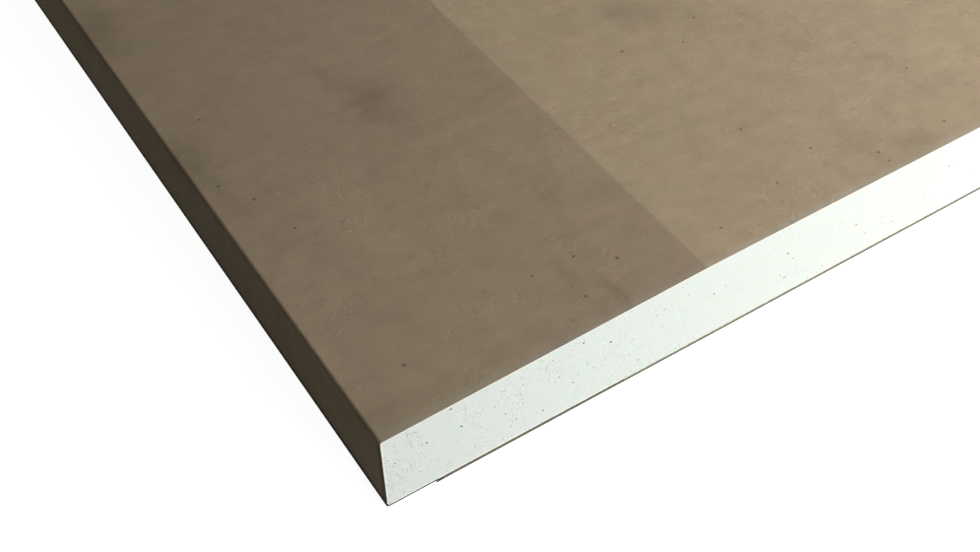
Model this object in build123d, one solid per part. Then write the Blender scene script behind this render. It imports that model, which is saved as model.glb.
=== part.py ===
from build123d import *
import os

# A sheet of drywall lying face up: a gypsum core between two paper liners.
# X runs across the sheet, Y along it and Z up. The origin is the middle of the
# underside, on the surface that the sheet lies on.
# The face liner is one sheet of paper. It covers the face, follows the taper down
# to each long edge, turns round that edge and laps under the core. The back liner
# is flat, stops short of the long edges and covers the laps, so it lies lowest.
# Both ends are cut square and show the core and the cut paper.

# Driving dimensions, in millimetres
sheet_width = 1200.0
sheet_length = 2400.0
sheet_thickness = 12.5  # over both liners, in the flat middle of the sheet
taper_width = 40.0  # from each long edge to where the face is flat
taper_depth = 1.0  # how much lower the face lies at a long edge
face_paper_thickness = 0.35
back_paper_thickness = 0.35
fold_inside_radius = 0.1  # of the crease where the face paper turns round an edge
lap_width = 30.0  # face paper under the core, measured from the long edge
back_paper_setback = 6.0  # from each long edge to the back paper's own edge

# Places that follow from them
long_edge_x = sheet_width / 2
taper_start_x = long_edge_x - taper_width
lap_end_x = long_edge_x - lap_width
back_paper_x = long_edge_x - back_paper_setback
back_paper_top_z = back_paper_thickness
lap_top_z = back_paper_top_z + face_paper_thickness
edge_face_z = sheet_thickness - taper_depth
fold_radius = fold_inside_radius + face_paper_thickness


def strip(half_width, low_z, high_z):
    """A flat strip of the cross-section, centred across the sheet."""
    return make_face(
        Polyline(
            (-half_width, low_z),
            (half_width, low_z),
            (half_width, high_z),
            (-half_width, high_z),
            close=True,
        )
    )


def wrapped_section():
    """All that the face paper goes round, to its outside, with the four folds rounded."""
    outline = make_face(
        Polyline(
            (-long_edge_x, back_paper_top_z),
            (long_edge_x, back_paper_top_z),
            (long_edge_x, edge_face_z),
            (taper_start_x, sheet_thickness),
            (-taper_start_x, sheet_thickness),
            (-long_edge_x, edge_face_z),
            close=True,
        )
    )
    folds = outline.vertices().group_by(lambda corner: round(abs(corner.X), 6))[-1]
    return fillet(folds, fold_radius)


def along_the_sheet(section):
    """Carries a cross-section the length of the sheet, half to each side of the middle."""
    return extrude(Plane.XZ * section, amount=sheet_length / 2, both=True)


# The cross-section of each piece, drawn with its second coordinate as the height
outside = wrapped_section()
inside = offset(outside, amount=-face_paper_thickness)
between_laps = strip(lap_end_x, back_paper_top_z, lap_top_z)

core_section = inside + between_laps
face_paper_section = outside - inside - between_laps
back_paper_section = strip(back_paper_x, 0, back_paper_top_z)

pieces = {
    "gypsum_core": along_the_sheet(core_section),
    "face_paper": along_the_sheet(face_paper_section),
    "back_paper": along_the_sheet(back_paper_section),
}

os.makedirs("parts", exist_ok=True)
for name, piece in pieces.items():
    export_step(piece, f"parts/{name}.step")
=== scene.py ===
import math
import bpy
import numpy as np
from mathutils import Matrix, Vector
from mathutils.geometry import delaunay_2d_cdt


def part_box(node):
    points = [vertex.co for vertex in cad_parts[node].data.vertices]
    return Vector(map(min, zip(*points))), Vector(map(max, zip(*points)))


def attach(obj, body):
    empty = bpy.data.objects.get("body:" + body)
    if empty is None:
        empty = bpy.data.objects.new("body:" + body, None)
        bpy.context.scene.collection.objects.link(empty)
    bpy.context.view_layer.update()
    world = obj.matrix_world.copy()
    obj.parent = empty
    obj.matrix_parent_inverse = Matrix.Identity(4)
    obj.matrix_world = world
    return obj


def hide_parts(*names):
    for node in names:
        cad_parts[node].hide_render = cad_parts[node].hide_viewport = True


# A drywall sheet lying face up. Lengths are in metres and patterns are sized in millimetres.
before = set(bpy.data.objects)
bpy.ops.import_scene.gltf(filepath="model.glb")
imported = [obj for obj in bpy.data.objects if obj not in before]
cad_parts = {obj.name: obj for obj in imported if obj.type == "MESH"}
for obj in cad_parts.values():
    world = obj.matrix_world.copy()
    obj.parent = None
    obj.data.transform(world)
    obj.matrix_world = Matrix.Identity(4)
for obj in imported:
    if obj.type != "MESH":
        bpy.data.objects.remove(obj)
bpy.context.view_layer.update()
print("frame loaded")

mm = 0.001
faceLow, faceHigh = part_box("face_paper")
coreLow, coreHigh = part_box("gypsum_core")
backLow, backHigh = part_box("back_paper")
halfWidth, halfLength = faceHigh.x, faceHigh.y

# What the frame's boxes don't say about the sheet's section
section = {
    "taperWidth": 40 * mm,
    "taperDepth": 1.0 * mm,
    "lapWidth": 30 * mm,  # face paper under the core, from the long edge
    "foldInside": 0.1 * mm,  # inside radius of each fold
    "bendLength": 0.6 * mm,  # over which the taper eases into the flat face
}
facePaperThickness = faceHigh.z - coreHigh.z
backPaperThickness = backHigh.z - backLow.z
foldOutside = section["foldInside"] + facePaperThickness
taperStart = halfWidth - section["taperWidth"]
creaseAngle = 35  # degrees, above which two faces are shaded apart
beside = 0.03 * mm  # puts a row of points just next to a bend, which keeps its shading narrow


# Meshes

def gridQuads(rows, columns):
    # Quads between neighbouring rows and columns of a grid whose points are numbered row by row
    corner = (np.arange(rows - 1)[:, None] * columns + np.arange(columns - 1)).ravel()
    return np.stack([corner, corner + 1, corner + columns + 1, corner + columns], axis=1)


def makeMesh(name, points, faceGroups, smoothGroups, values=None):
    # Joins groups of triangles and quads, given as whole arrays, into one mesh. A group is smooth or
    # flat. values names lists of one number for each point, which are kept as attributes.
    loops = np.concatenate([group.ravel() for group in faceGroups]).astype(np.int32)
    sizes = np.concatenate([np.full(len(group), group.shape[1]) for group in faceGroups])
    smooth = np.concatenate([np.full(len(g), s) for g, s in zip(faceGroups, smoothGroups)])
    mesh = bpy.data.meshes.new(name)
    mesh.vertices.add(len(points))
    mesh.vertices.foreach_set("co", np.ascontiguousarray(points, np.float32).ravel())
    mesh.loops.add(len(loops))
    mesh.loops.foreach_set("vertex_index", loops)
    mesh.polygons.add(len(sizes))
    starts = np.concatenate([[0], np.cumsum(sizes)[:-1]]).astype(np.int32)
    mesh.polygons.foreach_set("loop_start", starts)
    mesh.update(calc_edges=True)
    mesh.polygons.foreach_set("use_smooth", smooth.astype(bool))
    mesh.set_sharp_from_angle(angle=math.radians(creaseAngle))
    for valueName, numbers in (values or {}).items():
        layer = mesh.attributes.new(valueName, "FLOAT", "POINT")
        layer.data.foreach_set("value", np.ascontiguousarray(numbers, np.float32))
    mesh.validate()
    piece = bpy.data.objects.new(name, mesh)
    bpy.context.scene.collection.objects.link(piece)
    return piece


def growingSteps(length, firstStep, lastStep, evenLength, growth):
    # Places from 0 to length: even steps over evenLength, then each step longer than the one before
    steps = list(np.full(max(1, round(evenLength / firstStep)), firstStep))
    while sum(steps) < length:
        steps.append(min(steps[-1] * growth, lastStep))
    places = np.concatenate([[0], np.cumsum(steps)])
    return places * length / places[-1]


# Shaders

class Wire:
    # One output of a node. Sums on it add Math nodes to its tree.
    def __init__(self, tree, output):
        self.tree, self.output = tree, output

    def sum(self, operation, first, second):
        return self.tree.add("Math", {"operation": operation}, {0: first, 1: second})

    def __add__(self, other):
        return self.sum("ADD", self, other)

    def __radd__(self, other):
        return self.sum("ADD", other, self)

    def __sub__(self, other):
        return self.sum("SUBTRACT", self, other)

    def __rsub__(self, other):
        return self.sum("SUBTRACT", other, self)

    def __mul__(self, other):
        return self.sum("MULTIPLY", self, other)

    def __rmul__(self, other):
        return self.sum("MULTIPLY", other, self)

    def __truediv__(self, other):
        return self.sum("DIVIDE", self, other)

    def __rtruediv__(self, other):
        return self.sum("DIVIDE", other, self)


class Finish:
    # A material, light or world tree, filled from an empty one
    def __init__(self, owner):
        owner.use_nodes = True
        self.nodes, self.links = owner.node_tree.nodes, owner.node_tree.links
        self.nodes.clear()

    def add(self, kind, settings=None, sockets=None, output=0):
        # Makes one node: its settings first, then its sockets, each by name or number
        node = self.nodes.new("ShaderNode" + kind)
        for key, value in (settings or {}).items():
            setattr(node, key, value)
        for key, value in (sockets or {}).items():
            socket = next(s for n, s in enumerate(node.inputs) if key in (n, s.identifier))
            if isinstance(value, Wire):
                self.links.new(value.output, socket)
            else:
                socket.default_value = value
        found = {key: Wire(self, s) for n, s in enumerate(node.outputs) for key in (n, s.identifier)}
        if isinstance(output, tuple):
            return tuple(found[key] for key in output)
        return found[output] if found else None

    def place(self, name):
        # One coordinate of the object, in millimetres
        return self.add("SeparateXYZ", {}, {0: self.add("TexCoord", output="Object")}, name) * (1 / mm)

    def spreadOn(self, first, second, third=0.0):
        # The coordinates that the patterns below lie on, in millimetres
        self.where = self.add("CombineXYZ", {}, {"X": first, "Y": second, "Z": third})

    def scaled(self, size, stretch=(1, 1, 1), turn=0.0, shift=0.0):
        # Those coordinates turned, then divided by the pattern's size along each axis
        turned = self.where
        if turn:
            turned = self.add("Mapping", {}, {"Vector": self.where, "Rotation": (0, 0, turn)})
        return self.add("Mapping", {}, {
            "Vector": turned, "Location": (shift, shift, shift),
            "Scale": [1 / (size * s) for s in stretch]})

    def noise(self, size, stretch=(1, 1, 1), detail=2.0, roughness=0.5, turn=0.0, shift=0.0,
              distortion=0.0):
        # Smooth noise around 0, from about -1 to 1
        value = self.add("TexNoise", {"noise_dimensions": "3D"}, {
            "Vector": self.scaled(size, stretch, turn, shift), "Scale": 1.0, "Detail": detail,
            "Roughness": roughness, "Distortion": distortion})
        return value * 2.0 - 1.0

    def ease(self, value, start, end, low=0.0, high=1.0):
        # Runs smoothly from low to high while value goes from start to end
        return self.add("MapRange", {"interpolation_type": "SMOOTHSTEP"}, {
            "Value": value, 1: start, 2: end, 3: low, 4: high})

    def blend(self, factor, first, second):
        # Mixes two colours
        return self.add("Mix", {"data_type": "RGBA"}, {
            "Factor_Float": factor, "A_Color": first, "B_Color": second}, "Result_Color")

    def specks(self, spacing, radius, share, shift=0.0):
        # Round specks, from 0 to 1, in a share of the cells of a pattern. Each has 0.4 to 1 times the
        # radius.
        distance, chance = self.add("TexVoronoi", {"voronoi_dimensions": "2D"}, {
            "Vector": self.scaled(spacing, shift=shift), "Scale": 1.0}, ("Distance", "Color"))
        first, second = self.add("SeparateColor", {}, {0: chance}, ("Red", "Green"))
        there = self.add("Math", {"operation": "LESS_THAN"}, {0: first, 1: share})
        radii = (second * 0.6 + 0.4) * (radius / spacing)
        return self.ease(distance / radii, 0.5, 1.0, 1.0, 0.0) * there

    def size(self, value):
        # A number without its sign
        return self.add("Math", {"operation": "ABSOLUTE"}, {0: value})

    def pushed(self, grain, reach):
        # The coordinates pushed about by noise, as far as reach
        noise = self.add("TexNoise", {}, {
            "Vector": self.scaled(grain), "Scale": 1.0, "Detail": 3.0, "Roughness": 0.6}, "Color")
        centred = self.add("VectorMath", {"operation": "SUBTRACT"}, {0: noise, 1: (0.5, 0.5, 0.5)})
        push = self.add("VectorMath", {"operation": "SCALE"}, {0: centred, "Scale": 2 * reach})
        return self.add("VectorMath", {"operation": "ADD"}, {0: self.where, 1: push})

    def patch(self, where, middle, halfSize, lean, strength):
        # A soft patch round a place on the face, from strength in its middle to 0 just past its half
        # size. It is so thick that only the place on the face counts.
        thickness = 1000
        spread = self.add("Mapping", {"vector_type": "TEXTURE"}, {
            "Vector": where, "Location": (*middle, 0), "Rotation": (0, 0, lean),
            "Scale": (*halfSize, thickness)})
        distance = self.add("VectorMath", {"operation": "LENGTH"}, {0: spread}, "Value")
        return self.ease(distance, 0.0, 1.1, strength, 0.0)

    def brighten(self, colour, factor):
        # Scales a colour by a number
        plain = colour if isinstance(colour, Wire) else colour[:3]
        return self.add("VectorMath", {"operation": "SCALE"}, {0: plain, "Scale": factor})

    def surface(self, shader):
        self.add("OutputMaterial", {}, {"Surface": shader})


def opaque(red, green, blue):
    return (red, green, blue, 1.0)


# Face paper

facePaper = {
    "firstStep": 2.5 * mm,  # of its grid, by the long edges and the ends
    "lastStep": 30 * mm,  # in the middle of the sheet
    "evenLength": 110 * mm,
    "growth": 1.16,
    "arcPoints": 9,  # round each fold
    "flatPoints": 6,  # across the lap, and up the edge
    "bendPoints": 5,  # where the taper eases into the face
    "waves": 14,  # added up
    "waveDepth": 0.06 * mm,  # how far its surface dips below flat
    "waveLengths": (90 * mm, 420 * mm),
    "waveFades": (20 * mm, 40 * mm),  # to their full depth, from a long edge and from an end
    "wavesAtEnd": 0.3,  # share of the depth at an end
    "waveSeed": 4,
}


def halfSection():
    # The outside of the face paper from the end of its left lap to the middle of the sheet: a flat lap,
    # an arc, the upright edge, an arc, then the taper, which eases into the flat face as a parabola.
    # Gives the points and their outward normals, each as X and Z.
    slope = section["taperDepth"] / section["taperWidth"]
    tilt = math.atan(slope)
    centreX = -halfWidth + foldOutside
    lowCentreZ = faceLow.z + foldOutside
    highCentreZ = faceHigh.z - section["taperDepth"] + foldOutside * (slope - 1 / math.cos(tilt))

    flatPoints, arcPoints = facePaper["flatPoints"], facePaper["arcPoints"]
    lapX = np.linspace(-halfWidth + section["lapWidth"], centreX, flatPoints)[:-1]
    lap = np.stack([lapX, np.full(len(lapX), faceLow.z)], axis=1)
    lapNormals = np.tile([0.0, -1.0], (len(lapX), 1))

    lowAngles = np.linspace(-math.pi / 2, -math.pi, arcPoints)
    lowNormals = np.stack([np.cos(lowAngles), np.sin(lowAngles)], axis=1)
    lowArc = np.array([centreX, lowCentreZ]) + foldOutside * lowNormals

    sideZ = np.linspace(lowCentreZ + beside, highCentreZ - beside, flatPoints)
    side = np.stack([np.full(flatPoints, -halfWidth), sideZ], axis=1)
    sideNormals = np.tile([-1.0, 0.0], (flatPoints, 1))

    highAngles = np.linspace(math.pi, math.pi / 2 + tilt, arcPoints)
    highNormals = np.stack([np.cos(highAngles), np.sin(highAngles)], axis=1)
    highArc = np.array([centreX, highCentreZ]) + foldOutside * highNormals

    arcEnd = highArc[-1, 0]
    faceX = arcEnd + growingSteps(-arcEnd, facePaper["firstStep"], facePaper["lastStep"],
                                  facePaper["evenLength"], facePaper["growth"])
    bend = section["bendLength"]
    bendX = -taperStart + np.linspace(-bend, bend, facePaper["bendPoints"])
    clear = (np.abs(faceX + taperStart) > 1.5 * bend) & (faceX > arcEnd)
    faceX = np.sort(np.concatenate([[arcEnd + beside], faceX[clear], bendX]))
    along = -taperStart - faceX  # how far down the taper
    eased = np.clip(along + bend, 0, 2 * bend)
    drop = slope * (eased ** 2 / (4 * bend) + np.maximum(along - bend, 0))
    steep = slope * eased / (2 * bend)
    face = np.stack([faceX, faceHigh.z - drop], axis=1)
    faceNormals = np.stack([-steep, np.ones_like(steep)], axis=1)
    faceNormals /= np.linalg.norm(faceNormals, axis=1)[:, None]

    points = np.concatenate([lap, lowArc, side, highArc, face])
    normals = np.concatenate([lapNormals, lowNormals, sideNormals, highNormals, faceNormals])
    return points, normals


def wholeSection():
    # The left half and its mirror image, which starts after the middle point
    points, normals = halfSection()
    mirrored = np.array([-1.0, 1.0])
    return (np.concatenate([points, points[-2::-1] * mirrored]),
            np.concatenate([normals, normals[-2::-1] * mirrored]))


def lengthwisePlaces():
    # Places along the sheet, close together by both ends
    half = growingSteps(halfLength, facePaper["firstStep"], facePaper["lastStep"],
                        facePaper["evenLength"], facePaper["growth"])
    half = np.insert(half, 1, beside)
    return np.concatenate([half - halfLength, (halfLength - half)[-2::-1]])


def paperWaves(x, y):
    # Slow waves of a sheet of paper, from 0 to 1: sines of many lengths and directions, added up
    random = np.random.default_rng(facePaper["waveSeed"])
    total = np.zeros_like(x)
    for _ in range(facePaper["waves"]):
        length = math.exp(random.uniform(*np.log(facePaper["waveLengths"])))
        heading, phase = random.uniform(0, math.pi), random.uniform(0, 2 * math.pi)
        onward = x * math.cos(heading) + y * math.sin(heading)
        total += length * np.sin(2 * math.pi * onward / length + phase)
    return (total - total.min()) / (total.max() - total.min())


def carriedPaper(name, points, normals, thickness, places, dip=None):
    # A sheet of paper: its section carried along the sheet. Each row of the grid is one closed loop,
    # along the outside and back along the inside, which lies one thickness behind. Both ends are closed
    # by a strip between the two lines. plyDepth runs from 0 outside to 1 inside, and across is the
    # distance from the middle of the sheet, in millimetres, measured on the paper.
    count, rows = len(points), len(places)
    inside = points - thickness * normals
    loop = np.concatenate([points, inside[::-1], points[:1]])
    grid = np.empty((rows, len(loop), 3))
    grid[:, :, 0] = loop[:, 0]
    grid[:, :, 1] = places[:, None]
    grid[:, :, 2] = loop[:, 1]
    if dip is not None:
        grid[:, :count] = dip(grid[:, :count])
    columns = 2 * count
    vertices = grid[:, :columns].reshape(-1, 3)
    quads = gridQuads(rows, columns + 1)
    row, column = np.divmod(quads, columns + 1)
    sheet = row * columns + column % columns
    outer = np.arange(count - 1)
    inner = 2 * count - 1 - outer
    front = np.stack([outer, inner, inner - 1, outer + 1], axis=1)
    rear = front[:, ::-1] + (rows - 1) * columns
    plyDepth = np.tile(np.repeat([0.0, 1.0], count), rows)
    steps = np.hypot(*np.diff(points, axis=0).T)
    along = np.concatenate([[0], np.cumsum(steps)])
    across = (along - along[-1] / 2) / mm
    across = np.tile(np.concatenate([across, across[::-1]]), rows)
    return makeMesh(name, vertices, [sheet, front, rear], [True, False, False],
                    {"plyDepth": plyDepth, "across": across})


def facePaperDip(outside):
    # The outside with its face taken down by the waves, which fade out by the long edges and the ends
    x, y, z = outside[..., 0], outside[..., 1], outside[..., 2]
    edgeFade, endFade = facePaper["waveFades"]
    left = facePaper["wavesAtEnd"]
    fromEdge = np.clip((halfWidth - np.abs(x)) / edgeFade, 0, 1)
    fromEnd = left + (1 - left) * np.clip((halfLength - np.abs(y)) / endFade, 0, 1)
    dip = facePaper["waveDepth"] * paperWaves(x, y) * fromEdge * fromEnd * (z > faceHigh.z / 2)
    return np.stack([x, y, z - dip], axis=-1)


sectionPoints, sectionNormals = wholeSection()
facePaperPiece = carriedPaper("facePaper", sectionPoints, sectionNormals, facePaperThickness,
                              lengthwisePlaces(), facePaperDip)
print("face paper made")


# Gypsum core

gypsumCore = {
    "recess": 0.02 * mm,  # of the cut end behind the cut edge of the paper
    "pores": 620,  # tried at each end
    "seeds": (11, 12),  # of the front and the rear end
    "poreRadius": (0.06 * mm, 0.21 * mm),
    "smallShare": 3.2,  # the higher, the more of them are small
    "poreGap": 0.12 * mm,  # round each one, to the next and to the paper
    "poreSides": 12,
    "poreDepth": 1.7,  # times the radius
    "rings": ((1.0, 0.0), (0.9, 0.5), (0.6, 0.88)),  # share of the radius, share of the depth
    "clusters": 26,
    "clustered": 0.25,  # share of the pores
    "clusterSpread": (2.2 * mm, 3.5 * mm),  # across and up
    "clusterInset": 2 * mm,  # from the core's underside and top
    # By the photographed corner, in mm: the clusters from the long edge, and the largest radius of a
    # scattered pore within a reach of it
    "ownClusters": (8, 15.5, 21, 25, 31, 52),
    "cornerRadii": ((85, 0.085), (13, 0.065)),
    # The pores that show best by the photographed corner, in mm: from the long edge, height and radius
    "ownPores": (
        (5.2, 7.6, 0.14), (9.2, 7.3, 0.16), (13.2, 7.6, 0.09), (14.5, 5.4, 0.12), (15.8, 3.6, 0.11),
        (19.2, 2.6, 0.155), (21.1, 6.9, 0.11), (23.0, 4.7, 0.11), (24.1, 10.5, 0.145),
        (27.7, 8.3, 0.145), (31.8, 2.5, 0.12), (41.7, 7.2, 0.14), (51.8, 4.1, 0.10),
        (52.5, 3.4, 0.13), (52.3, 7.5, 0.145), (53.3, 6.1, 0.10), (58.6, 1.7, 0.13),
        (62.9, 6.1, 0.16), (65.0, 3.6, 0.12), (77.2, 8.0, 0.13), (8.1, 11.0, 0.14),
        (1.5, 7.0, 0.09), (30.4, 4.4, 0.09), (43.2, 7.6, 0.09), (69.4, 3.1, 0.09), (74.5, 4.1, 0.10),
    ),
}


def scatterPores(seed):
    # Air pores over a cut end: places, radii, stretch and turn. Small ones are the most common, some lie
    # in clusters, and any that would touch an earlier one or the outline is dropped.
    random = np.random.default_rng(seed)
    small, large = gypsumCore["poreRadius"]
    count = gypsumCore["pores"]
    radius = small + (large - small) * random.random(count) ** gypsumCore["smallShare"]
    x = random.uniform(-halfWidth, halfWidth, count)
    z = random.uniform(coreLow.z, coreHigh.z, count)
    grouped = random.random(count) < gypsumCore["clustered"]
    heart = random.integers(0, gypsumCore["clusters"], count)
    heartX = random.uniform(-halfWidth, halfWidth, gypsumCore["clusters"])
    ownClusters = gypsumCore["ownClusters"]
    heartX[:len(ownClusters)] = -halfWidth + np.array(ownClusters) * mm
    inset = gypsumCore["clusterInset"]
    heartZ = random.uniform(coreLow.z + inset, coreHigh.z - inset, gypsumCore["clusters"])
    spreadX, spreadZ = gypsumCore["clusterSpread"]
    x = np.where(grouped, heartX[heart] + random.normal(0, spreadX, count), x)
    z = np.where(grouped, heartZ[heart] + random.normal(0, spreadZ, count), z)
    for reach, largest in gypsumCore["cornerRadii"]:
        radius = np.where(x < -halfWidth + reach * mm, np.minimum(radius, largest * mm), radius)
    own = np.array(gypsumCore["ownPores"]).T * mm
    x, z = np.append(own[0] - halfWidth, x), np.append(own[1], z)
    radius = np.append(own[2], radius)
    gap = radius + gypsumCore["poreGap"]
    downTaper = np.clip((np.abs(x) - taperStart) / section["taperWidth"], 0, 1)
    roof = coreHigh.z - downTaper * section["taperDepth"]
    lapTop = coreLow.z + facePaperThickness
    fits = (z > lapTop + gap) & (z < roof - gap) & (np.abs(x) < coreHigh.x - gap)
    apart = np.hypot(x[:, None] - x, z[:, None] - z)
    crowded = np.tril(apart < gap[:, None] + gap, -1).any(axis=1)
    keep = fits & ~crowded
    stretch = random.uniform(0.7, 1.0, len(x))
    turn = random.uniform(0, math.pi, len(x))
    return x[keep], z[keep], radius[keep], stretch[keep], turn[keep]


def coreOutline():
    # Round the core in section: along the inside of the face paper, then back along the underside
    # between the laps, which lies one paper lower. Only the points where the line turns are kept.
    inside = sectionPoints - facePaperThickness * sectionNormals
    lapEnd = halfWidth - section["lapWidth"]
    outline = np.concatenate([inside, [(lapEnd, coreLow.z), (-lapEnd, coreLow.z)]])
    before, after = outline - np.roll(outline, 1, axis=0), np.roll(outline, -1, axis=0) - outline
    turn = before[:, 0] * after[:, 1] - before[:, 1] * after[:, 0]
    straight = 1e-3  # sine of the angle below which a line counts as straight
    return outline[np.abs(turn) > straight * np.hypot(*before.T) * np.hypot(*after.T)]


def cutEnd(outline, place, inward, seed, firstIndex, outlineIndex):
    # A cut end: the flat between the outline and the pores' rims, triangulated, and a bowl in each pore.
    # A bowl is a grid of rings and spokes, stretched to an ellipse, closed by a fan at its bottom.
    x, z, radius, stretch, turn = scatterPores(seed)
    sides, rings = gypsumCore["poreSides"], np.array(gypsumCore["rings"])
    angle = np.arange(sides) * 2 * math.pi / sides
    ringRadius = radius[:, None, None] * rings[:, 0][None, :, None]
    across, up = ringRadius * np.cos(angle), ringRadius * np.sin(angle) * stretch[:, None, None]
    cosine, sine = np.cos(turn)[:, None, None], np.sin(turn)[:, None, None]
    bowls = np.empty((len(x), len(rings), sides, 3))
    bowls[..., 0] = x[:, None, None] + across * cosine - up * sine
    bowls[..., 2] = z[:, None, None] + across * sine + up * cosine
    depth = radius * gypsumCore["poreDepth"]
    bowls[..., 1] = place + inward * (depth[:, None] * rings[:, 1])[:, :, None]
    bottoms = np.stack([x, place + inward * depth, z], axis=1)

    ringSize = sides * len(rings)
    rims = np.arange(len(x))[:, None] * ringSize + np.arange(sides)
    rimPoints = bowls[:, 0].reshape(-1, 3)[:, [0, 2]]
    flatPoints = np.concatenate([outline, rimPoints])
    ids = np.concatenate([outlineIndex, (firstIndex + rims).ravel()])
    edge = np.arange(len(outline))
    edges = [np.stack([edge, np.roll(edge, -1)], axis=1)]
    rimEdge = len(outline) + np.arange(len(x) * sides).reshape(-1, sides)
    edges.append(np.stack([rimEdge, np.roll(rimEdge, -1, axis=1)], axis=2).reshape(-1, 2))
    found = delaunay_2d_cdt(  # inside the outline only, with points 1e-6 mm apart taken as one
        (flatPoints / mm).tolist(), np.concatenate(edges).tolist(), [], 1, 1e-6, False)
    flat = np.array(found[2])
    pore = np.where(flat < len(outline), -1 - flat, (flat - len(outline)) // sides)
    flat = flat[(pore[:, 0] != pore[:, 1]) | (pore[:, 1] != pore[:, 2])]
    # The triangles that fill the space of the two laps are dropped
    middle, lapTop = flatPoints[flat].mean(axis=1), coreLow.z + facePaperThickness
    inLap = (np.abs(middle[:, 0]) > halfWidth - section["lapWidth"]) & (middle[:, 1] < lapTop)
    flat = ids[flat[~inLap]]

    ring, spoke = np.arange(len(rings) - 1)[:, None], np.arange(sides)[None, :]
    turned = (spoke + 1) % sides
    walls = np.stack([ring * sides + spoke, ring * sides + turned,
                      (ring + 1) * sides + turned, (ring + 1) * sides + spoke], axis=-1).reshape(-1, 4)
    walls = (firstIndex + np.arange(len(x))[:, None, None] * ringSize + walls).reshape(-1, 4)
    lastRing = firstIndex + rims + (len(rings) - 1) * sides
    bottomIndex = firstIndex + len(x) * ringSize + np.arange(len(x))
    bottom = np.broadcast_to(bottomIndex[:, None], lastRing.shape)
    fans = np.stack([lastRing, np.roll(lastRing, -1, axis=1), bottom], axis=-1).reshape(-1, 3)
    if inward < 0:
        flat, walls, fans = flat[:, ::-1], walls[:, ::-1], fans[:, ::-1]
    vertices = np.concatenate([bowls.reshape(-1, 3), bottoms])
    poreDepth = np.concatenate([np.tile(np.repeat(rings[:, 1], sides), len(x)), np.ones(len(x))])
    return vertices, poreDepth, flat, walls, fans


def makeCore():
    # The outline carried from one end to the other, and the two cut ends
    outline = coreOutline()
    count = len(outline)
    ends = np.array([-halfLength, halfLength]) + np.array([1, -1]) * gypsumCore["recess"]
    body = np.empty((2, count, 3))
    body[:, :, 0], body[:, :, 1], body[:, :, 2] = outline[:, 0], ends[:, None], outline[:, 1]
    edge = np.arange(count)
    around = np.stack([edge, np.roll(edge, -1), np.roll(edge, -1) + count, edge + count], axis=1)
    points, depths, groups, smooth = [body.reshape(-1, 3)], [np.zeros(2 * count)], [around], [False]
    for place, inward, seed, start in zip(ends, (1, -1), gypsumCore["seeds"], (0, count)):
        first = sum(map(len, points))
        vertices, poreDepth, flat, walls, fans = cutEnd(
            outline, place, inward, seed, first, start + edge)
        points.append(vertices)
        depths.append(poreDepth)
        groups += [flat, walls, fans]
        smooth += [False, True, True]
    return makeMesh("gypsumCore", np.concatenate(points), groups, smooth,
                    {"poreDepth": np.concatenate(depths)})


gypsumCorePiece = makeCore()
print("gypsum core made,", len(gypsumCorePiece.data.polygons), "faces")


# Back paper

backPaper = {
    "firstStep": 6 * mm,  # of its grid, by the long edges
    "lastStep": 60 * mm,
    "evenLength": 36 * mm,
    "growth": 1.3,
    "rowShare": 3,  # it has every third row of the face paper
}


def makeBackPaper():
    # A flat strip between the two long edges. Its outside faces down.
    reach = backHigh.x
    half = growingSteps(reach, backPaper["firstStep"], backPaper["lastStep"],
                        backPaper["evenLength"], backPaper["growth"])
    x = np.concatenate([reach - half, half[-2::-1] - reach])
    points = np.stack([x, np.full(len(x), backLow.z)], axis=1)
    normals = np.tile([0.0, -1.0], (len(x), 1))
    return carriedPaper("backPaper", points, normals, backPaperThickness,
                        lengthwisePlaces()[::backPaper["rowShare"]])


backPaperPiece = makeBackPaper()
print("back paper made")


# Finishes

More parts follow.
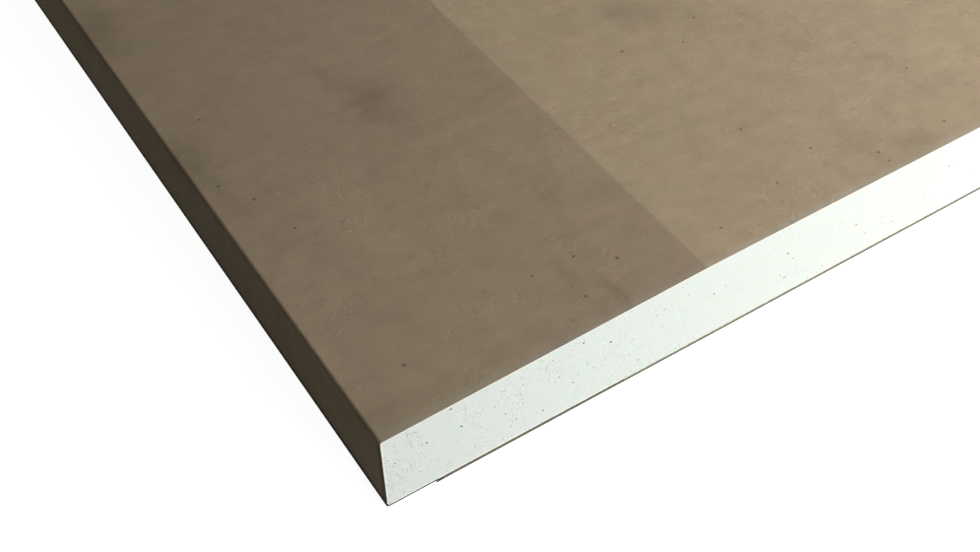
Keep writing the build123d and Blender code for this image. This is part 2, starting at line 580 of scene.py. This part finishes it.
facePaperLook = {
    "olive": opaque(0.387, 0.308, 0.201),
    "rosy": opaque(0.399, 0.305, 0.209),
    "taperShade": 0.81,  # the taper's colour as a share of the face's
    "taperWobble": 0.07,  # of the line where it starts, in mm
    "taperBlur": 0.2,  # of that line to each side, in mm
    "wobbleSize": 3.0,
    # The paper's patterns: the size in mm and the strength of each
    "cloudSize": 7.0, "clouds": 0.05,
    "driftSize": 90.0, "drift": 0.05,
    "lineSize": 2.2, "lines": 0.035,
    "mottleSize": 2.6, "mottle": 0.17,
    "fibreSize": 0.6, "fibres": 0.10,
    "fineSize": 0.14, "fine": 0.05,
    "shadeSize": 5.5, "shades": 0.10,
    "hueSize": 3.2, "taperRosy": 0.4,
    "fibrePatches": 6.0,  # size of the places with more or fewer fibres, in mm
    "fibreFade": (15.0, 65.0),  # from the front end, in mm
    "fibresFurther": 0.7,  # share of them that is left beyond it
    # Spacing and radius in mm, share of the places that have one, strength, strength by the
    # photographed corner and shift
    "specks": ((3.2, 0.22, 0.07, 0.75, 0.0, 0.0), (1.7, 0.16, 0.045, 0.36, 0.36, 3.3)),
    "cornerReach": (100.0, 80.0),  # of the photographed corner, in mm
    "cornerBlur": 5.0,
    # The specks that show best there, in mm: from the long edge, from the end, and radius
    "ownSpecks": (
        (6.8, 6.8, 0.28), (33.0, 6.5, 0.30), (61.8, 8.1, 0.28), (67.8, 3.3, 0.28), (78.0, 3.0, 0.28),
        (29.3, 9.3, 0.26), (54.8, 5.8, 0.26), (27.1, 4.0, 0.26), (4.8, 36.8, 0.30),
        (54.5, 34.5, 0.30), (5.3, 52.8, 0.27), (57.3, 15.1, 0.25), (67.8, 1.6, 0.23),
        (66.3, 35.0, 0.25), (6.5, 30.1, 0.24), (24.1, 9.5, 0.23), (62.0, 31.8, 0.24),
        (81.5, 12.6, 0.23), (45.0, 3.8, 0.22), (2.3, 41.0, 0.23),
    ),
    "ownSpeckStrength": 0.75,
    "stainFray": (4.0, 3.6),  # size and reach of the noise on the edges of the stains, in mm
    # Worked-in stains by the photographed corner, and paler places with a strength below 0: place from
    # the corner, half size, lean and strength
    "stains": (
        ((23.5, 44.0), (3.6, 9.0), 0.15, 0.20),
        ((21.5, 52.0), (2.0, 5.0), 0.25, 0.08),
        ((26.5, 45.5), (3.2, 6.5), 0.1, 0.07),
        ((1.0, 46.0), (4.0, 9.0), 0.0, 0.22),
        ((2.5, 39.0), (1.6, 5.0), 0.0, 0.10),
        ((1.5, 76.0), (5.0, 9.0), 0.1, 0.22),
        ((60.0, 41.0), (4.2, 6.0), 0.3, 0.18),
        ((64.5, 37.5), (5.0, 4.0), 0.3, 0.11),
        ((51.5, 43.5), (4.0, 4.5), 0.3, 0.07),
        ((66.0, 33.5), (3.4, 4.0), 0.3, 0.08),
        ((71.0, 27.0), (3.0, 8.0), 0.7, 0.07),
        ((67.0, 7.0), (3.2, 6.5), 0.2, 0.09),
        ((72.5, 1.5), (3.6, 4.6), 0.3, 0.15),
        ((27.0, 7.0), (1.8, 9.0), 0.05, 0.12),
        ((29.8, 2.0), (1.6, 5.5), 0.05, 0.15),
        ((1.5, 2.0), (4.0, 4.0), 0.0, 0.09),
        ((80.0, 16.0), (1.6, 3.4), 0.5, 0.10),
        ((37.5, 22.0), (5.0, 7.0), 0.0, -0.10),
        ((13.0, 27.0), (5.0, 14.0), 0.0, -0.09),
        ((4.0, 20.0), (4.5, 5.5), 0.0, -0.06),
        ((88.0, 12.5), (7.0, 5.5), 0.4, -0.06),
    ),
    "speckColour": opaque(0.062, 0.043, 0.028),
    # The side, with heights in mm: full below the first height and gone above the second
    # olive, and paler than the face as painted bounce light from the floor
    "lowColourWithBounce": opaque(0.420, 0.359, 0.235),
    "lowShare": 0.6,
    "lowHeights": (3.0, 10.5),
    # painted contact shadow where it meets the floor
    "footPaintedShadow": 0.2,  # where it meets the floor
    "footHeights": (1.3, 2.1),
    "lapPast": (10.8, 11.2),  # on the paper, past the long edge, where the lap begins
    "fuzzSize": 0.5, "fuzz": 0.35,  # of worn fibres along the fold
    # The cut
    "innerPly": opaque(0.95, 0.94, 0.86),
    "outerPly": 0.48,  # share of the thickness
    "plyBlur": 0.08,
    "liftedColour": opaque(0.400, 0.348, 0.268),  # of the face's fibres beside the cut
    "liftedShare": 0.8,
    "liftedReach": 1.2,  # in mm
    # painted shade: the outer ply's cut turns this dark on the side and the lap, not on the top
    "cutColourWithShade": opaque(0.050, 0.046, 0.032),  # of the outer ply on the side and the lap
    "cutHeights": (11.1, 11.35),  # in mm, the top of that
    # painted shade on the side beside the cut
    "cutShade": 0.35,  # of the side beside the cut
    "roughness": 0.82,
    "gloss": 0.03,
}


def facePaperFinish():
    look = facePaperLook
    material = bpy.data.materials.new("facePaper")
    f = Finish(material)
    across = f.add("Attribute", {"attribute_name": "across"}, {}, "Fac")
    y, z = f.place("Y"), f.place("Z")
    f.spreadOn(across, y)
    fromMiddle, fromCentre = f.size(across), f.size(y)
    start, edge, end = taperStart / mm, halfWidth / mm, halfLength / mm
    wobble, blur = f.noise(look["wobbleSize"]) * (2 * look["taperWobble"]), look["taperBlur"]
    onTaper = f.ease(fromMiddle + wobble, start - blur, start + blur)

    clouds = f.noise(look["cloudSize"], (1.0, 1.6, 1.0), detail=3.0) * look["clouds"]
    drift = f.noise(look["driftSize"], shift=3.7) * look["drift"]
    paler = f.noise(look["lineSize"], (6.0, 1.0, 1.0), 1.5, shift=6.1, distortion=0.9)
    darker = f.noise(look["lineSize"], (5.0, 1.0, 1.0), 1.5, shift=8.3, distortion=0.9)
    lines = (f.ease(paler, 0.06, 0.42) - f.ease(darker, 0.10, 0.42)) * look["lines"]
    mottle = f.noise(look["mottleSize"], (1.3, 1.0, 1.0), detail=4.0, roughness=0.62) * look["mottle"]
    # Fibres in two directions, paler where they stand up and darker beside that: partly their own tone,
    # partly painted highlight and shade of their relief
    raised = 0.0
    for turn, shift in ((0.6, 1.1), (-0.5, 9.1)):
        up = f.noise(look["fibreSize"], (2.4, 1.0, 1.0), 1.0, turn=turn, shift=shift)
        down = f.noise(look["fibreSize"], (2.0, 1.0, 1.0), 1.0, turn=turn + 0.9, shift=-shift)
        raised = raised + f.ease(up, 0.26, 0.46) - f.ease(down, 0.26, 0.46)
    raised = raised * f.ease(f.noise(look["fibrePatches"], shift=5.5), -0.15, 0.2, 0.25, 1.0)
    fadeFrom, fadeTo = look["fibreFade"]
    raised = raised * f.ease(y, fadeFrom - end, fadeTo - end, 1.0, look["fibresFurther"])
    fibres = raised * look["fibres"]
    fine = f.noise(look["fineSize"], detail=1.0, shift=2.9) * look["fine"]
    stains = 0.0
    where = f.pushed(*look["stainFray"])
    for (fromEdge, fromEnd), halfSize, lean, strength in look["stains"]:
        stains = stains + f.patch(where, (fromEdge - edge, fromEnd - end), halfSize, lean, strength)
    wide = f.ease(f.noise(look["shadeSize"], (1.0, 2.6, 1.0), shift=2.2), 0.25, 0.65) * look["shades"]
    tone = (1.0 + clouds + drift + lines + mottle + fibres + fine) * (1.0 - stains) * (1.0 - wide)

    rosy = f.noise(look["hueSize"], (1.0, 1.5, 1.0), shift=7.7)
    hue = f.ease(rosy, -0.4, 0.4, 0.0, 1.0 - look["taperRosy"]) + onTaper * look["taperRosy"]
    colour = f.blend(hue, look["olive"], look["rosy"])
    nearX, nearY = look["cornerReach"][0] - edge, look["cornerReach"][1] - end
    near = (f.ease(across, nearX - look["cornerBlur"], nearX, 1.0, 0.0)
            * f.ease(y, nearY - look["cornerBlur"], nearY, 1.0, 0.0))
    specks = 0.0
    for spacing, radius, share, strength, nearStrength, shift in look["specks"]:
        strengthHere = strength + near * (nearStrength - strength)
        specks = specks + f.specks(spacing, radius, share, shift) * strengthHere
    for fromEdge, fromEnd, radius in look["ownSpecks"]:
        middle = (fromEdge - edge, fromEnd - end)
        specks = specks + f.patch(f.where, middle, (radius, radius), 0.0, look["ownSpeckStrength"])
    colour = f.blend(specks, colour, look["speckColour"])

    # The upright edge: warm under the fold, olive lower down and paler there with painted bounce light,
    # and dark with a painted contact shadow where it meets the floor
    upright = f.ease(fromMiddle, edge + 0.05, edge + 0.35)
    # Painted bounce light: the lower side takes a paler olive colour
    low = f.ease(z, *look["lowHeights"], 1.0, 0.0) * upright
    # Painted contact shadow low on the side
    footShadow = f.ease(z, *look["footHeights"], 1.0 - look["footPaintedShadow"], 0.0) * upright
    footShadow = footShadow * f.ease(fromMiddle, *(edge + past for past in look["lapPast"]), 1.0, 0.0)
    byFold = f.ease(f.size(fromMiddle - edge), 0.0, 0.3, 1.0, 0.0)
    fuzz = f.ease(f.noise(look["fuzzSize"], shift=4.1), 0.22, 0.45) * byFold
    colour = f.blend(low * look["lowShare"], colour, look["lowColourWithBounce"])
    frayed = fromCentre + f.noise(0.5, shift=1.3) * 0.5
    lifted = f.ease(frayed, end - look["liftedReach"], end - 0.1) * (1.0 - upright)
    colour = f.blend(lifted * look["liftedShare"], colour, look["liftedColour"])
    tone = tone * (1.0 - footShadow) * (1.0 + fuzz * look["fuzz"])

    # The cut: an outer ply darkened by painted shade on the side and the lap, then pale inner plies,
    # with painted shade on the outside beside it and the fibres of the face lifted and greyer
    plyDepth = f.add("Attribute", {"attribute_name": "plyDepth"}, {}, "Fac")
    nearCut = f.ease(fromCentre, end - 0.6, end - 0.05) * upright
    tone = tone * (1.0 - nearCut * (1.0 - look["cutShade"]))
    dimmed = onTaper * (1.0 - upright) * (1.0 - look["taperShade"])
    colour = f.brighten(colour, tone * (1.0 - dimmed))
    cutLow, cutHigh = look["cutHeights"]
    # Painted shade: the outer ply's cut turns dark below the top of the side
    shadedCut = f.ease(fromCentre, end - 0.05, end - 0.01) * f.ease(z, cutLow, cutHigh, 1.0, 0.0)
    colour = f.blend(shadedCut, colour, look["cutColourWithShade"])
    # Where the lap isn't covered by the back paper, its painted shade reaches further into the cut
    reach = backHigh.x / mm  # past it the lap isn't covered
    bare = f.ease(f.size(f.place("X")), reach - 0.4, reach) * f.ease(z, 0.8, 1.0, 1.0, 0.0)
    above = f.ease(z, cutLow, cutHigh) * 0.08
    ragged = plyDepth + f.noise(0.12) * 0.22 + f.noise(1.5) * 0.08 - bare * 0.15 + above
    inner = f.ease(ragged, look["outerPly"] - look["plyBlur"], look["outerPly"] + look["plyBlur"])
    colour = f.blend(inner, colour, f.brighten(look["innerPly"], 1.0 + f.noise(0.2) * 0.10))

    relief = lines * 0.08 + mottle * 0.05 + raised * 0.015 + fine * 0.03  # in mm
    normal = f.add("Bump", {}, {"Strength": 1.0, "Distance": mm, "Height": relief})
    rough = look["roughness"] + mottle * 0.4
    shader = f.add("BsdfPrincipled", {}, {
        "Base Color": colour, "Roughness": rough, "Normal": normal, "Specular IOR Level": look["gloss"]})
    f.surface(shader)
    return material


gypsumLook = {
    "cool": opaque(0.799, 0.866, 0.815),
    "plain": opaque(0.832, 0.862, 0.799),
    "seamColour": opaque(0.90, 0.89, 0.78),  # next to the paper, where fibres run into the gypsum
    "seamShare": 0.8,
    "seamHeights": (0.18, 0.32),  # above the underside, in mm: full at the first, gone at the second
    "bottomShadeColour": opaque(0.155, 0.150, 0.095),  # painted shade: a dark band on the gypsum just above the back paper, which widens the dark line of its cut
    "bottomShadeHeights": (0.07, 0.14),
    # painted shade inside the pores
    "poreShadeColour": opaque(0.050, 0.052, 0.045),
    "crumbColour": opaque(0.42, 0.46, 0.42),
    # Patterns: the size in mm and the strength of each
    "cloudSize": 2.5, "clouds": 0.025,
    "grainSize": 0.13, "grain": 0.05,
    "ridgeSize": 0.8, "ridges": 0.10,
    "crumbSize": 0.42, "crumbs": 0.28,
    "chipSize": 0.34, "chips": 0.07,
    "patchSize": 2.2,
    "hueSize": 1.8,
    "faintSpecks": (1.5, 0.22, 0.2),  # spacing, radius and share
    "faint": 0.4,
    "roughReach": 45.0,  # from the photographed corner, in mm, where it is more crumbled
    "roughFurther": 0.3,
    "hueReach": (20.0, 100.0),  # from there, in mm, over which it turns from cool to plain
    "roughness": 0.92,
    "gloss": 0.15,
}


def gypsumFinish():
    look = gypsumLook
    material = bpy.data.materials.new("gypsum")
    f = Finish(material)
    x, z = f.place("X"), f.place("Z")
    f.spreadOn(x, z, f.place("Y"))
    edge, underside = halfWidth / mm, coreLow.z / mm
    # Coarser and more crumbled by the photographed corner and along the underside
    rough = f.ease(x, -edge, look["roughReach"] - edge, 1.0, look["roughFurther"])
    low = f.ease(z, underside + 0.3, underside + 1.2, 0.6, 0.0)
    patches = f.ease(f.noise(look["patchSize"], (0.6, 2.4, 1.0), shift=6.0), -0.08, 0.16)
    patchy = (patches + low) * rough
    clouds = f.noise(look["cloudSize"], detail=3.0) * look["clouds"]
    grain = f.noise(look["grainSize"], roughness=0.6) * rough * look["grain"]
    # Pale and dark lines side by side, where winding noise crosses two levels: marks in the gypsum, with
    # painted highlight and shade of their relief
    winding = f.noise(look["ridgeSize"], (1.0, 1.4, 1.0), detail=1.0, shift=1.7, distortion=0.6)
    ridges = (f.ease(f.size(winding - 0.06), 0.0, 0.06, 1.0, 0.0)
              - f.ease(f.size(winding + 0.06), 0.0, 0.06, 1.0, 0.0)) * patchy
    crumbs = f.ease(f.noise(look["crumbSize"], (1.0, 1.5, 1.0), shift=8.0), 0.16, 0.5) * patchy
    chips = f.ease(f.noise(look["chipSize"], (1.4, 1.0, 1.0), shift=2.0), 0.2, 0.42) * patchy
    hueFrom, hueTo = look["hueReach"]
    further = f.ease(x, hueFrom - edge, hueTo - edge, -0.15, 0.35)
    hue = f.ease(f.noise(look["hueSize"], shift=5.0) + further, -0.5, 0.5)
    tone = 1.0 + clouds + grain + ridges * look["ridges"] + chips * look["chips"]
    colour = f.brighten(f.blend(hue, look["cool"], look["plain"]), tone)
    colour = f.blend(crumbs * look["crumbs"], colour, look["crumbColour"])
    height = z - underside + f.noise(0.35) * 0.08
    seam = f.ease(height, *look["seamHeights"], look["seamShare"], 0.0)
    colour = f.blend(seam, colour, look["seamColour"])
    # Painted shade just above the back paper
    colour = f.blend(f.ease(height, *look["bottomShadeHeights"], 1.0, 0.0), colour, look["bottomShadeColour"])
    faint = f.specks(*look["faintSpecks"]) * rough
    colour = f.blend(faint * look["faint"], colour, look["crumbColour"])
    # Painted shade in the pores, full from 0.6 of their depth
    poreDepth = f.add("Attribute", {"attribute_name": "poreDepth"}, {}, "Fac")
    colour = f.blend(f.ease(poreDepth, 0.0, 0.6), colour, look["poreShadeColour"])
    relief = grain * 0.3 - ridges * 0.012 - crumbs * 0.04 + chips * 0.02 - faint * 0.03  # in mm
    normal = f.add("Bump", {}, {"Strength": 1.0, "Distance": mm, "Height": relief})
    shader = f.add("BsdfPrincipled", {}, {
        "Base Color": colour, "Roughness": look["roughness"], "Normal": normal,
        "Specular IOR Level": look["gloss"]})
    f.surface(shader)
    return material


backPaperLook = {
    "colour": opaque(0.240, 0.212, 0.160),
    # the cut's grey-brown colour with painted shade
    "cutColourWithShade": opaque(0.172, 0.167, 0.115),
    # the specks' dark colour, and painted shadow along the long edges
    "speckAndShadowColour": opaque(0.030, 0.028, 0.020),
    "edgeReach": (1.1, 0.4),  # from its long edges, in mm, over which it takes that colour on
    "innerPly": opaque(0.66, 0.64, 0.53),
    "outerPly": 0.95,  # share of the thickness
    "plyBlur": 0.1,
    # Patterns: the size in mm and the strength of each
    "cloudSize": 9.0, "clouds": 0.10,
    "bandSize": 2.1, "bands": 0.08,
    "fleckSize": 0.5, "flecks": 0.16,
    "fibreSize": 0.10, "fibres": 0.12,
    "specks": (3.0, 0.18, 0.2),  # spacing, radius and share
    "speckShare": 0.7,
    "roughness": 0.85,
    "gloss": 0.2,
}


def backPaperFinish():
    look = backPaperLook
    material = bpy.data.materials.new("backPaper")
    f = Finish(material)
    x, y = f.place("X"), f.place("Y")
    f.spreadOn(x, y)
    clouds = f.noise(look["cloudSize"], detail=3.0) * look["clouds"]
    bands = f.noise(look["bandSize"], (9.0, 1.0, 1.0), detail=1.5) * look["bands"]
    flecks = f.noise(look["fleckSize"], detail=3.0, roughness=0.6) * look["flecks"]
    leftFibres = f.noise(look["fibreSize"], (6.0, 1.0, 1.0), detail=1.0, turn=0.6)
    rightFibres = f.noise(look["fibreSize"], (6.0, 1.0, 1.0), detail=1.0, turn=-0.5, shift=7.0)
    fibres = (leftFibres + rightFibres) * look["fibres"]
    colour = f.brighten(look["colour"], 1.0 + clouds + bands + flecks + fibres)
    colour = f.blend(f.specks(*look["specks"]) * look["speckShare"], colour, look["speckAndShadowColour"])
    reach, end = backHigh.x / mm, halfLength / mm
    # The cut: its grey-brown colour with painted shade
    colour = f.blend(f.ease(f.size(y), end - 0.15, end - 0.02), colour, look["cutColourWithShade"])
    # Painted shadow along the long edges
    edgeFrom, edgeTo = look["edgeReach"]
    colour = f.blend(f.ease(f.size(x), reach - edgeFrom, reach - edgeTo), colour, look["speckAndShadowColour"])
    plyDepth = f.add("Attribute", {"attribute_name": "plyDepth"}, {}, "Fac")
    ragged = plyDepth + f.noise(0.12, detail=2.0) * 0.25
    inner = f.ease(ragged, look["outerPly"] - look["plyBlur"], look["outerPly"] + look["plyBlur"])
    colour = f.blend(inner, colour, look["innerPly"])
    relief = bands * 0.12 + flecks * 0.05 + fibres * 0.03  # in mm
    normal = f.add("Bump", {}, {"Strength": 1.0, "Distance": mm, "Height": relief})
    shader = f.add("BsdfPrincipled", {}, {
        "Base Color": colour, "Roughness": look["roughness"], "Normal": normal,
        "Specular IOR Level": look["gloss"]})
    f.surface(shader)
    return material


for piece, finish, slotName, node in (
    (facePaperPiece, facePaperFinish, "face_paper", "face_paper"),
    (gypsumCorePiece, gypsumFinish, "gypsum", "gypsum_core"),
    (backPaperPiece, backPaperFinish, "back_paper", "back_paper"),
):
    piece.data.materials.append(finish())
    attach(piece, "root")
    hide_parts(node)
print("finishes made")


# Floor and light

studio = {
    "floorReach": 15.0,  # to each side of the middle
    "floorDrop": 0.01 * mm,  # below the sheet, which keeps the two surfaces apart
    "floorColour": opaque(0.22, 0.22, 0.21),  # as other surfaces see it
    "whiteLevel": 0.94,  # of the floor's own white, before the light on it
    "floorSheen": opaque(0.45, 0.45, 0.45),
    "skyLevel": 0.088,
    "keyDirection": (0.62, -0.163, 0.65),
    "keyDistance": 2.2,
    "keyEdge": -0.498,  # the middle of the beam's soft edge on the sheet
    "keySpan": (1.9, 4.4),  # across and along the sheet, on the floor
    "keySpread": 8.5,  # degrees
    "keyLevel": 0.90,
    # A long low lamp in front of the sheet, in two parts that lie over each other beside the
    # photographed corner: the middle of each across the sheet, its length and its level
    "strips": ((-0.371, 0.448, 10.78), (0.222, 1.256, 5.37)),
    "stripPlace": (-1.42, 0.133),  # along the sheet, and its height
    "stripHeight": 0.073,
    "stripAim": (0, 1, -1.08),
    "stripSpread": 180,  # degrees
    # Two lamps for what the photograph doesn't show. Their light stops short of its corner.
    "rearPlace": (0.0, 3.0, 0.36),
    "rearSize": (2.0, 0.5),
    "rearAim": (0, -1, -0.19),
    "rearSpread": 120,
    "rearLevel": 4.0,
    "sidePlace": (-2.59, 0.36, 0.817),
    "sideSize": (1.8, 0.2),
    "sideAim": (0.928, 0, -0.371),
    "sideSpread": 16,
    "sideLevel": 1.5,
}


def shownRay(f):
    # 1 where the camera, a mirror or glass looks at the white, and 0 where it would light a surface
    path = f.add("LightPath", {}, {}, ("Is Camera Ray", "Is Glossy Ray", "Is Transmission Ray"))
    return f.add("Math", {"operation": "MAXIMUM"}, {
        0: path[0], 1: f.add("Math", {"operation": "MAXIMUM"}, {0: path[1], 1: path[2]})})


def makeFloor():
    reach = studio["floorReach"]
    corners = np.array([[-reach, -reach], [reach, -reach], [reach, reach], [-reach, reach]])
    points = np.column_stack([corners, np.full(len(corners), -studio["floorDrop"])])
    floor = makeMesh("floor", points, [np.array([[0, 1, 2, 3]])], [False])
    material = bpy.data.materials.new("floor")
    f = Finish(material)
    own = f.add("Emission", {}, {"Strength": studio["whiteLevel"]})
    lit = f.add("BsdfDiffuse", {}, {"Color": studio["floorSheen"]})
    shown = f.add("AddShader", {}, {0: own, 1: lit})
    bounced = f.add("BsdfDiffuse", {}, {"Color": studio["floorColour"]})
    f.surface(f.add("MixShader", {}, {0: shownRay(f), 1: bounced, 2: shown}))
    floor.data.materials.append(material)


def makeSky():
    sky = bpy.data.worlds.new("sky")
    bpy.context.scene.world = sky
    f = Finish(sky)
    light = f.add("Background", {}, {"Color": opaque(1, 1, 1), "Strength": studio["skyLevel"]})
    white = f.add("Background", {}, {"Color": opaque(1, 1, 1), "Strength": 1.0})
    f.add("OutputWorld", {}, {"Surface": f.add("MixShader", {}, {0: shownRay(f), 1: light, 2: white})})


def makeLamp(name, place, forward, upward, size, spread, level):
    # A rectangular lamp at a place, shining forward. level is the light that falls straight under it,
    # where 1 shows a colour as it is written.
    lamp = bpy.data.lights.new(name, "AREA")
    lamp.shape, lamp.size, lamp.size_y = "RECTANGLE", size[0], size[1]
    lamp.spread = math.radians(spread)
    lamp.energy = level * math.pi * size[0] * size[1]
    holder = bpy.data.objects.new(name, lamp)
    bpy.context.scene.collection.objects.link(holder)
    back = -Vector(forward).normalized()
    up = Vector(upward)
    up = (up - up.dot(back) * back).normalized()
    turn = Matrix((up.cross(back), up, back)).transposed()
    holder.matrix_world = Matrix.Translation(place) @ turn.to_4x4()
    holder.visible_camera = False


def makeKey():
    # A softbox with a narrow beam. One side of the beam runs along the sheet by its left long edge, so
    # the light falls off there.
    toLamp = Vector(studio["keyDirection"]).normalized()
    along = Vector((0, 1, 0))
    along = (along - along.dot(toLamp) * toLamp).normalized()
    across = toLamp.cross(along)
    spanX, spanY = studio["keySpan"]
    middle = Vector((studio["keyEdge"] + spanX / 2, 0, faceHigh.z))
    size = (spanX * abs(across.x), spanY * abs(along.y))
    makeLamp("key", middle + toLamp * studio["keyDistance"], -toLamp, along, size,
             studio["keySpread"], studio["keyLevel"] / toLamp.z)


def makeStrip():
    for middle, length, level in studio["strips"]:
        makeLamp("strip", (middle, *studio["stripPlace"]), studio["stripAim"], (0, 0, 1),
                 (length, studio["stripHeight"]), studio["stripSpread"], level)


makeFloor()
makeSky()
makeKey()
makeStrip()
makeLamp("rear", studio["rearPlace"], studio["rearAim"], (0, 0, 1), studio["rearSize"],
         studio["rearSpread"], studio["rearLevel"])
makeLamp("side", studio["sidePlace"], studio["sideAim"], (0, 0, 1), studio["sideSize"],
         studio["sideSpread"], studio["sideLevel"])
print("light made")


# Camera

cameraView = {
    "fromCorner": (-29.91 * mm, -68.25 * mm, 115.12 * mm),  # from the sheet's front left corner
    "heading": 32.09,  # degrees, from along the sheet towards across it
    "downward": 47.43,
    "roll": -0.98,
    "focalPixels": 1323.1,
    "photoWidth": 980,  # pixels
    "sensorWidth": 36,
}


def makeCamera():
    data = bpy.data.cameras.new("camera")
    data.sensor_width, data.clip_start = cameraView["sensorWidth"], 1 * mm
    data.lens = cameraView["focalPixels"] * cameraView["sensorWidth"] / cameraView["photoWidth"]
    camera = bpy.data.objects.new("camera", data)
    bpy.context.scene.collection.objects.link(camera)
    turn = (Matrix.Rotation(math.radians(-cameraView["heading"]), 4, "Z")
            @ Matrix.Rotation(math.radians(90 - cameraView["downward"]), 4, "X")
            @ Matrix.Rotation(math.radians(cameraView["roll"]), 4, "Z"))
    place = Vector((-halfWidth, -halfLength, 0)) + Vector(cameraView["fromCorner"])
    camera.matrix_world = Matrix.Translation(place) @ turn
    bpy.context.scene.camera = camera


makeCamera()
bpy.context.scene.view_settings.view_transform = "Standard"
print("scene ready")
